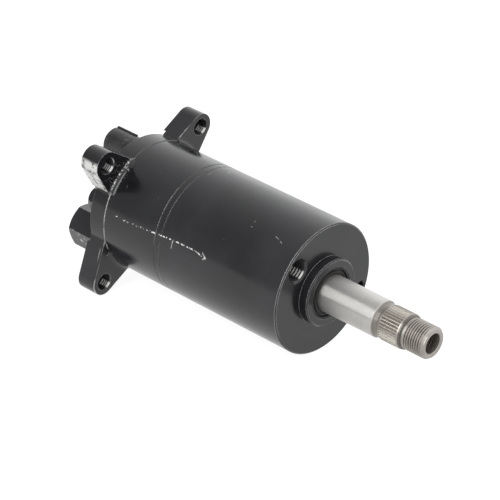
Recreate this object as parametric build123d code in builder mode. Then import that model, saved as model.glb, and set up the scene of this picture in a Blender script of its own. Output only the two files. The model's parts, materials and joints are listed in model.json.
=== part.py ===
from build123d import *
import math
import os

# Hydraulic gerotor motor.
# Frame: +X along the shaft towards its threaded end, +Z up, origin on the shaft axis in the
# plane of the round front face. Everything is in millimetres.

# ---- driving dimensions: casings -------------------------------------------------------------
BODY_R = 39.5            # outside of both casings
FRONT_LEN = 89.8         # front casing, face to first seam
PLATE_T = 4.3            # wear plate between the two seams
FLANGE_X = -134.3        # front plane of the mounting flange
FLANGE_R = 39.8          # rim of the flange between its ears
FLANGE_T = 11.2          # flange thickness
EAR_T = 13.0             # ear thickness
EAR_PCR = 53.7           # radius of the ear hole circle
EAR_TIP_R = 8.4          # round tip of an ear
EAR_TAPER = 12.9         # degrees each side widens towards the body
GUSSET_TAPER = 28.0      # the same on the upper side of the lower ear at -Y
GUSSET_BASE_R = 34.0     # where that side runs into the housing
EAR_HOLE_R = 4.25        # tapped M10: core and outer radius of the thread
EAR_HOLE_MAJOR_R = 5.0
EAR_HOLE_PITCH = 1.5
EAR_ROOT_R = 6.0         # casting radius beside an ear
EAR_FOOT = 3.5           # casting radius in front of an ear
REAR_STEP_R = 42.2       # the rear face is machined this far out, across the roots of the ears
BOSS_R = 20.3            # pilot boss on the front face
BOSS_H = 5.9
BOSS_BEVEL = 0.8
EDGE = 0.8               # worn edge of the front face
SEAM_BEVEL = 0.3
NECK_BORE_R = 13.4       # clearance round the shaft behind the seal
PLATE_BORE_R = 8.2

SEAM_1 = -FRONT_LEN
SEAM_2 = SEAM_1 - PLATE_T
REAR_X = FLANGE_X - FLANGE_T
EAR_REAR_X = FLANGE_X - EAR_T

# ---- driving dimensions: shaft ---------------------------------------------------------------
SHAFT_R = 11.1           # ground stretch, seven eighths of an inch
SEAT_R = 12.5            # bearing seats
SHOULDER_R = 15.0        # stretch between the bearings
TAIL_R = 7.5             # rotor and bush journal
TAIL_END = -131.0
GROUND_END = 44.2
SERRATION_R = 10.6
SERRATION_ROOT_R = 9.85
SERRATION_TEETH = 36
SERRATION_X = (49.2, 61.5)
THREAD_R = 9.53          # three quarter inch, sixteen threads per inch
THREAD_ROOT_R = 8.6
THREAD_PITCH = 25.4 / 16
THREAD_X = 66.0
THREAD_TURNS = 8
SHAFT_END = 79.3
END_BORE_R = 6.0         # shallow counterbore in the threaded end
END_BORE_DEPTH = 3.0
END_HOLE_R = 4.0         # tapped hole below it, three eighths of an inch
END_HOLE_MAJOR_R = 4.76
END_HOLE_DEPTH = 18.0
SEAL_JOURNAL_R = 10.75   # where the seal runs, inside the boss
SEAL_JOURNAL_END = 5.8
GROUND_EDGE = 0.5
RELIEF_R = 10.1          # turned groove between the ground stretch and the serration
RELIEF_END = 47.0
THREAD_NECK_R = 9.25
THREAD_NECK_X = 63.6

# ---- driving dimensions: bearings ------------------------------------------------------------
RACE_OUT_R = 26.0
RACE_W = 15.0
BALL_R = 3.97
BALL_PITCH_R = 19.25
BALL_COUNT = 9
GROOVE_R = 4.03
WASHER_T = 0.8
CAVITY_X = -24.0         # shoulder that the front bearing is pushed against
FRONT_BEARING_X = CAVITY_X - WASHER_T - RACE_W
REAR_BEARING_X = -85.5   # low end of the rear bearing
CLIP_T = 1.5

# ---- driving dimensions: gerotor set ---------------------------------------------------------
LOBES = 7                # lobes of the outer rotor, the inner has one less
LOBE_CIRCLE_R = 18.2
LOBE_R = 4.6
ECC = 2.25               # the outer rotor's axis stands this far above the shaft's
ROTOR_OUT_R = 23.5
ROTOR_GAP = 0.15         # play between the two sets of lobes
RING_BORE_R = 23.55
RING_OUT_R = 27.4
RING_PIN_R = 1.5         # pin that stops the eccentric ring from turning
RING_PIN_DEPTH = 3.8     # below the pocket floor
RING_PIN_REACH = 12.0    # above it
POCKET_FLOOR = SEAM_2 - 18.0
ROTOR_X = (POCKET_FLOOR + 0.15, SEAM_2 - 0.15)
KEY_W = 4.0

# ---- driving dimensions: fastening and ports -------------------------------------------------
SCREW_PCR = 34.3
SCREW_ANGLES = (62, 118, 192, 270, 348)
SCREW_R = 3.0
SCREW_PLAY = 0.3         # of the screws in their passages
SCREW_TIP_X = -74.0
HEAD_R = 5.0
HEAD_H = 6.0
HEAD_SUNK = 0.4          # of the heads below the rear face
HEAD_SOCKET = (5.0, 3.0)  # across flats and depth
DOWEL_ANGLES = (231, 309)
DOWEL_R = 2.0
DOWEL_DEPTH = 4.0        # into each casing
PORT_AT = ((-18.8, -20.6), (18.8, -20.6))
PORT_R = 7.1
PORT_FLOOR = -133.5
ADAPTER_AF = 23.8
ADAPTER_END = -172.0
ADAPTER_BORE_R = 8.7
ADAPTER_BORE_DEPTH = 15.0
ADAPTER_CORE_R = 4.6
PORT_WASHER_R = 10.6
SHANK_REACH = 2.0        # the shanks stop this far short of the port floors
DRAIN_AT = (0.8, 28.0)
DRAIN_CAP_R = 8.7
DRAIN_CAP_END = -169.5
RIB_ANGLE = 68
RIB_X = (DRAIN_CAP_END + 1.0, DRAIN_CAP_END + 16.5)
RIB_SIZE = (1.8, 1.6)
GRIP_ANGLE = 137         # first pair of grooves
GRIP_PAIRS = 4
GRIP_PAIR_ANGLE = 4.0
GRIP_GROOVE_R = 0.35
CHECK_AT = (-26.0, 5.8)
CHECK_AF = 14.3
CHECK_R = 4.8
CHECK_END = -154.5
CHECK_FLOOR = -124.0
SEAT_T = 2.5
CHECK_BALL_R = 3.0
CHECK_SEAT_BORE_R = 2.2
CHECK_LIFT = 1.5         # free travel of the ball off its seat
HEX_TURN = 172.9         # degrees from +Y to a corner of the hexagons
FACE_HOLE = (30.4, 139)  # radius and angle from +Y of the big tapped hole in the front face
FACE_HOLE_R = 5.6
FACE_HOLE_MAJOR_R = 6.35
FACE_HOLE_DEPTH = 18.0
RIM_HOLE = (34.6, 340.9)  # the small tapped hole near the rim
RIM_HOLE_R = 3.4
RIM_HOLE_DEPTH = 12.0

os.makedirs("parts", exist_ok=True)


# ---- helpers -----------------------------------------------------------------------------------
def polar(radius, degrees):
    """Place on the YZ plane, as (y, z), at an angle from +Y."""
    turn = math.radians(degrees)
    return radius * math.cos(turn), radius * math.sin(turn)


def turned(points, mode=Mode.ADD):
    """Solid of revolution about the shaft axis, from (x, radius) corners."""
    with BuildSketch(Plane.XY) as section:
        with BuildLine():
            Polyline(*points, close=True)
        make_face()
    revolve(section.sketch, axis=Axis.X, mode=mode)


def ring(x0, x1, inner, outer, mode=Mode.ADD):
    """Plain ring about the shaft axis."""
    turned([(x0, inner), (x0, outer), (x1, outer), (x1, inner)], mode)


def round_bar(x0, x1, radius, at=(0, 0), mode=Mode.ADD):
    """Cylinder along X, from x0 to x1, about (y, z)."""
    with BuildSketch(Plane.YZ.offset(x0)) as disc:
        with Locations(at):
            Circle(radius)
    extrude(disc.sketch, amount=x1 - x0, mode=mode)


def hex_bar(x0, x1, across_flats, at, mode=Mode.ADD):
    """Hexagonal bar along X with one corner at HEX_TURN."""
    with BuildSketch(Plane.YZ.offset(x0)) as hexagon:
        with Locations(at):
            RegularPolygon(across_flats / 2, 6, major_radius=False, rotation=HEX_TURN)
    extrude(hexagon.sketch, amount=x1 - x0, mode=mode)


def cone_bar(x0, x1, r0, r1, at, mode=Mode.SUBTRACT):
    """Cone along X, radius r0 at x0 and r1 at x1, about (y, z)."""
    with BuildSketch(Plane.XY) as section:
        with BuildLine():
            Polyline((x0, 0), (x0, r0), (x1, r1), (x1, 0), close=True)
        make_face()
    cone = revolve(section.sketch, axis=Axis.X, mode=Mode.PRIVATE)
    add(cone.moved(Location((0, at[0], at[1]))), mode=mode)


def thread_zigzag(x0, turns, pitch, root, crest):
    """Corners of a thread's outline as rings, from x0 on."""
    corners = []
    for turn in range(turns):
        corners += [(x0 + turn * pitch, root), (x0 + (turn + 0.5) * pitch, crest)]
    return corners + [(x0 + turns * pitch, root)]


def threaded_bore(x_mouth, x_floor, minor, major, pitch, at=(0, 0)):
    """Tapped bore that opens towards +X, its thread as rings over the outer half of its depth."""
    turns = int((x_mouth - x_floor) * 0.55 / pitch)
    start = x_mouth - turns * pitch
    outline = [(x_floor, 0), (x_floor, minor)]
    outline += thread_zigzag(start, turns, pitch, minor, major)
    outline += [(x_mouth, 0)]
    with BuildSketch(Plane.XY) as section:
        with BuildLine():
            Polyline(*outline, close=True)
        make_face()
    core = revolve(section.sketch, axis=Axis.X, mode=Mode.PRIVATE)
    add(core.moved(Location((0, at[0], at[1]))), mode=Mode.SUBTRACT)


def save(part, label):
    """Name a finished piece and write it."""
    part.label = label
    export_step(part, f"parts/{label}.step")


screw_places = [polar(SCREW_PCR, angle) for angle in SCREW_ANGLES]
dowel_places = [polar(SCREW_PCR, angle) for angle in DOWEL_ANGLES]
ring_pin_at = polar(RING_OUT_R, 270)

# ---- front casing ------------------------------------------------------------------------------
SEAL_R = 15.5
SEAL_FLOOR = -1.4
SEAL_MOUTH = 0.4
O_RING_GROOVE = (28.3, 30.3)
O_RING_DEPTH = 1.5
CLIP_X = (REAR_BEARING_X - 0.1 - CLIP_T, REAR_BEARING_X - 0.1)
CLIP_GROOVE_R = 27.2

with BuildPart() as front_housing:
    turned([(SEAM_1, 0), (SEAM_1, BODY_R - SEAM_BEVEL), (SEAM_1 + SEAM_BEVEL, BODY_R), (-EDGE, BODY_R),
            (0, BODY_R - EDGE), (0, BOSS_R), (BOSS_H - BOSS_BEVEL, BOSS_R),
            (BOSS_H, BOSS_R - BOSS_BEVEL), (BOSS_H, 0)])
    # seal seat with its bevelled mouth, shaft clearance, and the bearing bore with its clip groove
    turned([(BOSS_H, 0), (BOSS_H, SEAL_R + SEAL_MOUTH), (BOSS_H - SEAL_MOUTH, SEAL_R), (SEAL_FLOOR, SEAL_R),
            (SEAL_FLOOR, NECK_BORE_R), (CAVITY_X, NECK_BORE_R), (CAVITY_X, RACE_OUT_R),
            (SEAM_1, RACE_OUT_R), (SEAM_1, 0)], Mode.SUBTRACT)
    ring(*CLIP_X, RACE_OUT_R - 1, CLIP_GROOVE_R, Mode.SUBTRACT)
    ring(SEAM_1, SEAM_1 + O_RING_DEPTH, *O_RING_GROOVE, Mode.SUBTRACT)
    for place in screw_places:
        round_bar(SEAM_1, SCREW_TIP_X + 3, SCREW_R + 0.05, place, Mode.SUBTRACT)
    for place in dowel_places:
        round_bar(SEAM_1, SEAM_1 + DOWEL_DEPTH + 0.2, DOWEL_R, place, Mode.SUBTRACT)
    threaded_bore(0, -FACE_HOLE_DEPTH, FACE_HOLE_R, FACE_HOLE_MAJOR_R, 25.4 / 13, polar(*FACE_HOLE))
    cone_bar(-1.9, 0, FACE_HOLE_R, 7.5, polar(*FACE_HOLE))
    round_bar(0, -RIM_HOLE_DEPTH, RIM_HOLE_R, polar(*RIM_HOLE), Mode.SUBTRACT)
    cone_bar(-1.1, 0, RIM_HOLE_R, 4.5, polar(*RIM_HOLE))
save(front_housing.part, "front_housing")

# ---- wear plate between the casings ------------------------------------------------------------
with BuildPart() as wear_plate:
    turned([(SEAM_2, PLATE_BORE_R), (SEAM_2, BODY_R - SEAM_BEVEL), (SEAM_2 + SEAM_BEVEL, BODY_R),
            (SEAM_1 - SEAM_BEVEL, BODY_R), (SEAM_1, BODY_R - SEAM_BEVEL), (SEAM_1, PLATE_BORE_R)])
    for place in screw_places:
        round_bar(SEAM_2, SEAM_1, SCREW_R + SCREW_PLAY, place, Mode.SUBTRACT)
    for place in dowel_places:
        round_bar(SEAM_2, SEAM_1, DOWEL_R, place, Mode.SUBTRACT)
save(wear_plate.part, "wear_plate")

# ---- rear casing with flange, ears and port passages ---------------------------------------------
BUSH_R = 10.0
BUSH_X = (-130.0, POCKET_FLOOR - 1.0)
KIDNEY_R = (11.6, 17.6)
KIDNEY_DEPTH = 5.0
KIDNEY_HALF_ANGLE = 62
PASSAGE_R = 5.0
PASSAGE_X = (-122.0, POCKET_FLOOR - KIDNEY_DEPTH + 1.0)
taper = math.radians(EAR_TAPER)
ear_tangent = (EAR_PCR + EAR_TIP_R * math.sin(taper), EAR_TIP_R * math.cos(taper))
EAR_BASE_R = 20.0
ear_base = ear_tangent[1] + (ear_tangent[0] - EAR_BASE_R) * math.tan(taper)
gusset = math.radians(GUSSET_TAPER)
gusset_tangent = (EAR_PCR + EAR_TIP_R * math.sin(gusset), EAR_TIP_R * math.cos(gusset))
gusset_base = gusset_tangent[1] + (gusset_tangent[0] - GUSSET_BASE_R) * math.tan(gusset)

with BuildSketch(Plane.YZ.offset(FLANGE_X)) as flange_outline:
    Circle(FLANGE_R)
    with PolarLocations(0, 4, start_angle=45):
        Polygon((EAR_BASE_R, -ear_base), (ear_tangent[0], -ear_tangent[1]), ear_tangent,
                (EAR_BASE_R, ear_base), align=None)
    with PolarLocations(EAR_PCR, 4, start_angle=45):
        Circle(EAR_TIP_R)
    with PolarLocations(0, 1, start_angle=225):
        Polygon((EAR_BASE_R, 0), (GUSSET_BASE_R, -gusset_base), (gusset_tangent[0], -gusset_tangent[1]),
                (EAR_PCR, 0), align=None)
    ear_roots = flange_outline.vertices().filter_by(
        lambda corner: abs(math.hypot(corner.Y, corner.Z) - FLANGE_R) < 0.2)
    fillet(ear_roots, radius=EAR_ROOT_R)


def kidney(middle_degrees):
    """Half of the rotor's ring of chambers, as a curved slot below the pocket floor."""
    with BuildSketch(Plane.YZ.offset(POCKET_FLOOR)) as slot:
        with BuildLine():
            CenterArc((0, ECC / 2), KIDNEY_R[1], middle_degrees - KIDNEY_HALF_ANGLE, 2 * KIDNEY_HALF_ANGLE)
            CenterArc((0, ECC / 2), KIDNEY_R[0], middle_degrees - KIDNEY_HALF_ANGLE, 2 * KIDNEY_HALF_ANGLE)
            for edge_angle in (middle_degrees - KIDNEY_HALF_ANGLE, middle_degrees + KIDNEY_HALF_ANGLE):
                inner_end = polar(KIDNEY_R[0], edge_angle)
                outer_end = polar(KIDNEY_R[1], edge_angle)
                Line((inner_end[0], inner_end[1] + ECC / 2), (outer_end[0], outer_end[1] + ECC / 2))
        make_face()
    extrude(slot.sketch, amount=-KIDNEY_DEPTH, mode=Mode.SUBTRACT)


def cross_passage(at, width):
    """Passage below a kidney slot, out to a bore at (y, z)."""
    reach = math.hypot(*at)
    angle = math.degrees(math.atan2(at[1], at[0]))
    middle = polar((reach + 14.0) / 2, angle)
    with BuildSketch(Plane.YZ.offset(PASSAGE_X[0])) as slot:
        with Locations(Location((middle[0], middle[1], 0), (0, 0, angle))):
            SlotCenterToCenter(reach - 14.0, width)
    extrude(slot.sketch, amount=PASSAGE_X[1] - PASSAGE_X[0], mode=Mode.SUBTRACT)


with BuildPart() as rear_housing:
    turned([(REAR_X, 0), (REAR_X, BODY_R), (SEAM_2 - SEAM_BEVEL, BODY_R), (SEAM_2, BODY_R - SEAM_BEVEL),
            (SEAM_2, 0)])
    extrude(flange_outline.sketch, amount=-EAR_T)
    round_bar(EAR_REAR_X, REAR_X, REAR_STEP_R, mode=Mode.SUBTRACT)
    # concave foot that runs from the body up the front of each ear
    with BuildSketch(Plane.XY) as foot_section:
        with BuildLine():
            Polyline((FLANGE_X + EAR_FOOT, BODY_R), (FLANGE_X + EAR_FOOT, BODY_R - 1),
                     (FLANGE_X, BODY_R - 1), (FLANGE_X, BODY_R + EAR_FOOT))
            foot_middle = EAR_FOOT * (1 - math.sqrt(0.5))
            ThreePointArc((FLANGE_X, BODY_R + EAR_FOOT), (FLANGE_X + foot_middle, BODY_R + foot_middle),
                          (FLANGE_X + EAR_FOOT, BODY_R))
        make_face()
    foot_ring = revolve(foot_section.sketch, axis=Axis.X, mode=Mode.PRIVATE)
    with BuildSketch(Plane.YZ.offset(FLANGE_X)) as foot_outline:
        with PolarLocations(EAR_PCR - 14, 4, start_angle=45):
            Rectangle(20, 2 * (ear_base - 5.2))
    foot_block = extrude(foot_outline.sketch, amount=EAR_FOOT, mode=Mode.PRIVATE)
    add(foot_ring & foot_block)
    # rotor pocket, bush seat and shaft clearance
    round_bar(POCKET_FLOOR, SEAM_2, RING_OUT_R + 0.05, mode=Mode.SUBTRACT)
    round_bar(BUSH_X[0], POCKET_FLOOR, BUSH_R, mode=Mode.SUBTRACT)
    round_bar(TAIL_END - 3, BUSH_X[0], TAIL_R + 0.5, mode=Mode.SUBTRACT)
    round_bar(POCKET_FLOOR - RING_PIN_DEPTH - 0.2, POCKET_FLOOR + RING_PIN_REACH, RING_PIN_R, ring_pin_at,
              Mode.SUBTRACT)
    ring(SEAM_2 - O_RING_DEPTH, SEAM_2, *O_RING_GROOVE, Mode.SUBTRACT)
    kidney(180)
    kidney(0)
    for port_place in PORT_AT:
        round_bar(REAR_X, PORT_FLOOR, PORT_R + 0.05, port_place, Mode.SUBTRACT)
        round_bar(PORT_FLOOR, PASSAGE_X[0] + 0.5, PASSAGE_R, port_place, Mode.SUBTRACT)
        cross_passage(port_place, 6.0)
    # drain: port bore and a drilling down to the space behind the shaft
    round_bar(REAR_X, PORT_FLOOR, PORT_R + 0.05, DRAIN_AT, Mode.SUBTRACT)
    with BuildSketch(Plane.XY.offset(2)) as drain_drilling:
        with Locations((TAIL_END - 1.2, 0)):
            Circle(1.6)
    extrude(drain_drilling.sketch, amount=DRAIN_AT[1] - 5, mode=Mode.SUBTRACT)
    # check valve cavity
    round_bar(REAR_X, CHECK_FLOOR, CHECK_R, CHECK_AT, Mode.SUBTRACT)
    round_bar(CHECK_FLOOR, PASSAGE_X[0] + 0.5, CHECK_SEAT_BORE_R, CHECK_AT, Mode.SUBTRACT)
    cross_passage(CHECK_AT, 4.4)
    for place in screw_places:
        round_bar(REAR_X, SEAM_2, SCREW_R + SCREW_PLAY, place, Mode.SUBTRACT)
        round_bar(REAR_X, REAR_X + HEAD_SUNK + HEAD_H, HEAD_R + 0.25, place, Mode.SUBTRACT)
    for place in dowel_places:
        round_bar(SEAM_2, SEAM_2 - DOWEL_DEPTH - 0.2, DOWEL_R, place, Mode.SUBTRACT)
    for ear in range(4):
        hole_at = polar(EAR_PCR, 45 + 90 * ear)
        threaded_bore(FLANGE_X, EAR_REAR_X, EAR_HOLE_R, EAR_HOLE_MAJOR_R, EAR_HOLE_PITCH, hole_at)
        cone_bar(FLANGE_X - 1.1, FLANGE_X, EAR_HOLE_R, EAR_HOLE_R + 1.1, hole_at)
        cone_bar(EAR_REAR_X, EAR_REAR_X + 0.6, EAR_HOLE_R + 0.6, EAR_HOLE_R, hole_at)
save(rear_housing.part, "rear_housing")

# ---- fastening -----------------------------------------------------------------------------------
HEAD_X = REAR_X + HEAD_SUNK
with BuildPart() as clamp_screws:
    for place in screw_places:
        round_bar(HEAD_X, HEAD_X + HEAD_H, HEAD_R, place)
        round_bar(HEAD_X + HEAD_H, SCREW_TIP_X, SCREW_R, place)
        hex_bar(HEAD_X, HEAD_X + HEAD_SOCKET[1], HEAD_SOCKET[0], place, Mode.SUBTRACT)
save(clamp_screws.part, "clamp_screws")

with BuildPart() as dowel_pins:
    for place in dowel_places:
        round_bar(SEAM_2 - DOWEL_DEPTH, SEAM_1 + DOWEL_DEPTH, DOWEL_R, place)
save(dowel_pins.part, "dowel_pins")


def o_ring(middle_x, label):
    """Face seal of round section, squeezed into its groove."""
    with BuildPart() as seal:
        with BuildSketch(Plane.XY) as section:
            with Locations((middle_x, sum(O_RING_GROOVE) / 2)):
                Circle(O_RING_DEPTH / 2)
        revolve(section.sketch, axis=Axis.X)
    save(seal.part, label)


o_ring(SEAM_1 + O_RING_DEPTH / 2, "front_o_ring")
o_ring(SEAM_2 - O_RING_DEPTH / 2, "rear_o_ring")

# ---- shaft -----------------------------------------------------------------------------------------
CLIP_NECK_R = 11.7
shaft_clip_x = (REAR_BEARING_X - 0.1 - CLIP_T, REAR_BEARING_X - 0.1)
shaft_outline = [
    (TAIL_END, 0), (TAIL_END, TAIL_R - 0.6), (TAIL_END + 0.6, TAIL_R), (-88.4, TAIL_R),
    (-88.4, SEAT_R - 0.4), (-88.0, SEAT_R), (shaft_clip_x[0], SEAT_R), (shaft_clip_x[0], CLIP_NECK_R),
    (shaft_clip_x[1], CLIP_NECK_R), (shaft_clip_x[1], SEAT_R), (REAR_BEARING_X + RACE_W, SEAT_R),
    (REAR_BEARING_X + RACE_W, SHOULDER_R), (FRONT_BEARING_X, SHOULDER_R), (FRONT_BEARING_X, SEAT_R),
    (-15.0, SEAT_R), (-13.6, SEAL_JOURNAL_R), (SEAL_JOURNAL_END, SEAL_JOURNAL_R),
    (SEAL_JOURNAL_END + 0.3, SHAFT_R),
    (GROUND_END - GROUND_EDGE, SHAFT_R), (GROUND_END, SHAFT_R - GROUND_EDGE),
    (GROUND_END + GROUND_EDGE, RELIEF_R), (RELIEF_END, RELIEF_R),
    (SERRATION_X[0] - 0.4, SERRATION_R - 0.1), (SERRATION_X[0], SERRATION_R),
    (SERRATION_X[1], SERRATION_R), (THREAD_NECK_X - 0.4, RELIEF_R), (THREAD_NECK_X, THREAD_NECK_R),
    (THREAD_X - 0.6, THREAD_NECK_R)]
shaft_outline += thread_zigzag(THREAD_X, THREAD_TURNS, THREAD_PITCH, THREAD_ROOT_R, THREAD_R)
shaft_outline += [(SHAFT_END, THREAD_ROOT_R - 0.1), (SHAFT_END, 0)]
TOOTH_DEPTH = SERRATION_R - SERRATION_ROOT_R

with BuildPart() as output_shaft:
    turned(shaft_outline)
    # serration: one straight V groove per tooth, with short run-outs left at the ends
    tooth_half = math.pi * SERRATION_R / SERRATION_TEETH * 0.8
    with BuildSketch(Plane.YZ.offset(SERRATION_X[0])) as grooves:
        with PolarLocations(0, SERRATION_TEETH):
            Polygon((SERRATION_ROOT_R, 0), (SERRATION_R + 0.1, -tooth_half),
                    (SERRATION_R + 0.1, tooth_half), align=None)
    extrude(grooves.sketch, amount=SERRATION_X[1] - SERRATION_X[0], mode=Mode.SUBTRACT)
    # counterbore with a bevelled mouth, and the tapped hole below it
    turned([(SHAFT_END, 0), (SHAFT_END, END_BORE_R + 0.4), (SHAFT_END - 0.5, END_BORE_R),
            (SHAFT_END - END_BORE_DEPTH, END_BORE_R), (SHAFT_END - END_BORE_DEPTH, 0)], Mode.SUBTRACT)
    threaded_bore(SHAFT_END - END_BORE_DEPTH, SHAFT_END - END_HOLE_DEPTH, END_HOLE_R, END_HOLE_MAJOR_R,
                  THREAD_PITCH)
    # keyway for the inner rotor
    with BuildSketch(Plane.YZ.offset(ROTOR_X[0] + 1)) as keyway:
        with Locations((0, -TAIL_R)):
            Rectangle(KEY_W, 5.0)
    extrude(keyway.sketch, amount=ROTOR_X[1] - ROTOR_X[0] - 2, mode=Mode.SUBTRACT)
save(output_shaft.part, "output_shaft")

with BuildPart() as rotor_key:
    with BuildSketch(Plane.YZ.offset(ROTOR_X[0] + 1)):
        with Locations((0, -TAIL_R + 0.25)):
            Rectangle(KEY_W, 4.5)
    extrude(amount=ROTOR_X[1] - ROTOR_X[0] - 2)
save(rotor_key.part, "rotor_key")

# ---- gerotor set -------------------------------------------------------------------------------------
def inner_lobe_point(turn):
    """Point of the inner rotor's outline: the curve that stays a lobe radius from the outer lobes."""
    lean = math.atan2(math.sin((1 - LOBES) * turn),
                      LOBE_CIRCLE_R / (ECC * LOBES) - math.cos((1 - LOBES) * turn))
    reach = LOBE_R + ROTOR_GAP
    u = LOBE_CIRCLE_R * math.cos(turn) - reach * math.cos(turn + lean) - ECC * math.cos(LOBES * turn)
    v = -LOBE_CIRCLE_R * math.sin(turn) + reach * math.sin(turn + lean) + ECC * math.sin(LOBES * turn)
    # the outline's own offset direction is turned to lie along Z
    return -v, -u


OUTLINE_POINTS = 30 * (LOBES - 1)
with BuildPart() as inner_rotor:
    with BuildSketch(Plane.YZ.offset(ROTOR_X[0])):
        with BuildLine():
            turns = [2 * math.pi * step / OUTLINE_POINTS for step in range(OUTLINE_POINTS)]
            Spline(*[inner_lobe_point(turn) for turn in turns], periodic=True)
        make_face()
        Circle(TAIL_R + 0.02, mode=Mode.SUBTRACT)
        with Locations((0, -TAIL_R)):
            Rectangle(KEY_W + 0.02, 4.2, mode=Mode.SUBTRACT)
    extrude(amount=ROTOR_X[1] - ROTOR_X[0])
save(inner_rotor.part, "inner_rotor")

ROOT_R = LOBE_CIRCLE_R - LOBE_R + 2 * ECC + 0.15
with BuildPart() as outer_rotor:
    with BuildSketch(Plane.YZ.offset(ROTOR_X[0])):
        with Locations((0, ECC)):
            Circle(ROTOR_OUT_R)
            Circle(ROOT_R, mode=Mode.SUBTRACT)
        with Locations((0, ECC)):
            with PolarLocations(LOBE_CIRCLE_R, LOBES, start_angle=-90):
                Circle(LOBE_R)
    extrude(amount=ROTOR_X[1] - ROTOR_X[0])
save(outer_rotor.part, "outer_rotor")

with BuildPart() as eccentric_ring:
    with BuildSketch(Plane.YZ.offset(POCKET_FLOOR)):
        Circle(RING_OUT_R)
        with Locations((0, ECC)):
            Circle(RING_BORE_R, mode=Mode.SUBTRACT)
        with Locations(ring_pin_at):
            Circle(RING_PIN_R, mode=Mode.SUBTRACT)
    extrude(amount=SEAM_2 - POCKET_FLOOR)
save(eccentric_ring.part, "eccentric_ring")

with BuildPart() as ring_pin:
    round_bar(POCKET_FLOOR - RING_PIN_DEPTH, POCKET_FLOOR + RING_PIN_REACH, RING_PIN_R, ring_pin_at)
save(ring_pin.part, "ring_pin")

with BuildPart() as rear_bush:
    ring(*BUSH_X, TAIL_R + 0.04, BUSH_R)
save(rear_bush.part, "rear_bush")

# ---- ball bearings and what locates them ---------------------------------------------------------
INNER_RACE_R = 16.6
RACE_EDGE = 0.5
OUTER_RACE_R = 22.0
CAGE_R = (17.6, 20.9)
CAGE_W = 10.4
POCKET_PLAY = 0.18


def groove(middle_x):
    """Ball groove shared by the two races."""
    with BuildSketch(Plane.XY) as section:
        with Locations((middle_x, BALL_PITCH_R)):
            Circle(GROOVE_R)
    revolve(section.sketch, axis=Axis.X, mode=Mode.SUBTRACT)


def ball_row(middle_x, radius, mode=Mode.ADD):
    """Ring of spheres on the pitch circle."""
    places = [polar(BALL_PITCH_R, 360 / BALL_COUNT * ball) for ball in range(BALL_COUNT)]
    with Locations(*[(middle_x, *place) for place in places]):
        Sphere(radius, mode=mode)


def race(low_x, inner, outer, label):
    """Bearing race from low_x on, with bevelled outer corners and the ball groove."""
    high_x = low_x + RACE_W
    with BuildPart() as race_ring:
        turned([(low_x, inner), (low_x, outer - RACE_EDGE), (low_x + RACE_EDGE, outer),
                (high_x - RACE_EDGE, outer), (high_x, outer - RACE_EDGE), (high_x, inner)])
        groove(low_x + RACE_W / 2)
    save(race_ring.part, label)


def ball_bearing(low_x, name):
    """Deep groove bearing in four pieces, its races from low_x on."""
    middle_x = low_x + RACE_W / 2
    race(low_x, SEAT_R, INNER_RACE_R, f"{name}_inner_race")
    race(low_x, OUTER_RACE_R, RACE_OUT_R, f"{name}_outer_race")
    with BuildPart() as balls:
        ball_row(middle_x, BALL_R)
    save(balls.part, f"{name}_balls")
    with BuildPart() as cage:
        ring(middle_x - CAGE_W / 2, middle_x + CAGE_W / 2, *CAGE_R)
        ball_row(middle_x, BALL_R + POCKET_PLAY, Mode.SUBTRACT)
    save(cage.part, f"{name}_cage")


ball_bearing(FRONT_BEARING_X, "front_bearing")
ball_bearing(REAR_BEARING_X, "rear_bearing")

with BuildPart() as spacer_sleeve:
    ring(REAR_BEARING_X + RACE_W, FRONT_BEARING_X, 22.6, RACE_OUT_R)
save(spacer_sleeve.part, "spacer_sleeve")

with BuildPart() as preload_washer:
    ring(CAVITY_X - WASHER_T, CAVITY_X, 22.4, RACE_OUT_R - 0.2)
save(preload_washer.part, "preload_washer")


def retaining_ring(x_range, inner, outer, gap_degrees, lug_r, label):
    """Open ring with a round lug, drilled for pliers, at each side of its gap."""
    with BuildPart() as clip:
        ring(*x_range, inner, outer)
        thickness = x_range[1] - x_range[0]
        with BuildSketch(Plane.YZ.offset(x_range[0])) as lugs:
            for side in (-1, 1):
                with Locations(polar(lug_r, 90 + side * (gap_degrees / 2 + 7))):
                    Circle(2.0)
        extrude(lugs.sketch, amount=thickness)
        gap_corners = [polar(2 * outer, 90 + side * gap_degrees / 2) for side in (-1, 1)]
        with BuildSketch(Plane.YZ.offset(x_range[0])) as opening:
            Polygon((0, 0), *gap_corners, align=None)
            for side in (-1, 1):
                with Locations(polar(lug_r, 90 + side * (gap_degrees / 2 + 7))):
                    Circle(0.8)
        extrude(opening.sketch, amount=thickness, mode=Mode.SUBTRACT)
    save(clip.part, label)


retaining_ring(CLIP_X, 23.4, CLIP_GROOVE_R - 0.1, 30, 23.2, "bearing_retaining_ring")
retaining_ring(shaft_clip_x, CLIP_NECK_R + 0.05, 14.6, 40, 14.0, "shaft_retaining_ring")

# ---- shaft seal ------------------------------------------------------------------------------------
SEAL_FACE = 5.6
SEAL_SHELL = 1.1         # wall of the pressed case
SEAL_WEB_X = (2.6, 3.6)  # its inner flange
SEAL_WEB_R = 13.0
SEAL_REAR_R = 13.6
LIP_R = SEAL_JOURNAL_R + 0.05
LIP_CREST_R = (12.4, 13.1)
GARTER_AT = (1.0, 13.1)
GARTER_R = 0.65
case_bore_r = SEAL_R - SEAL_SHELL

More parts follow.
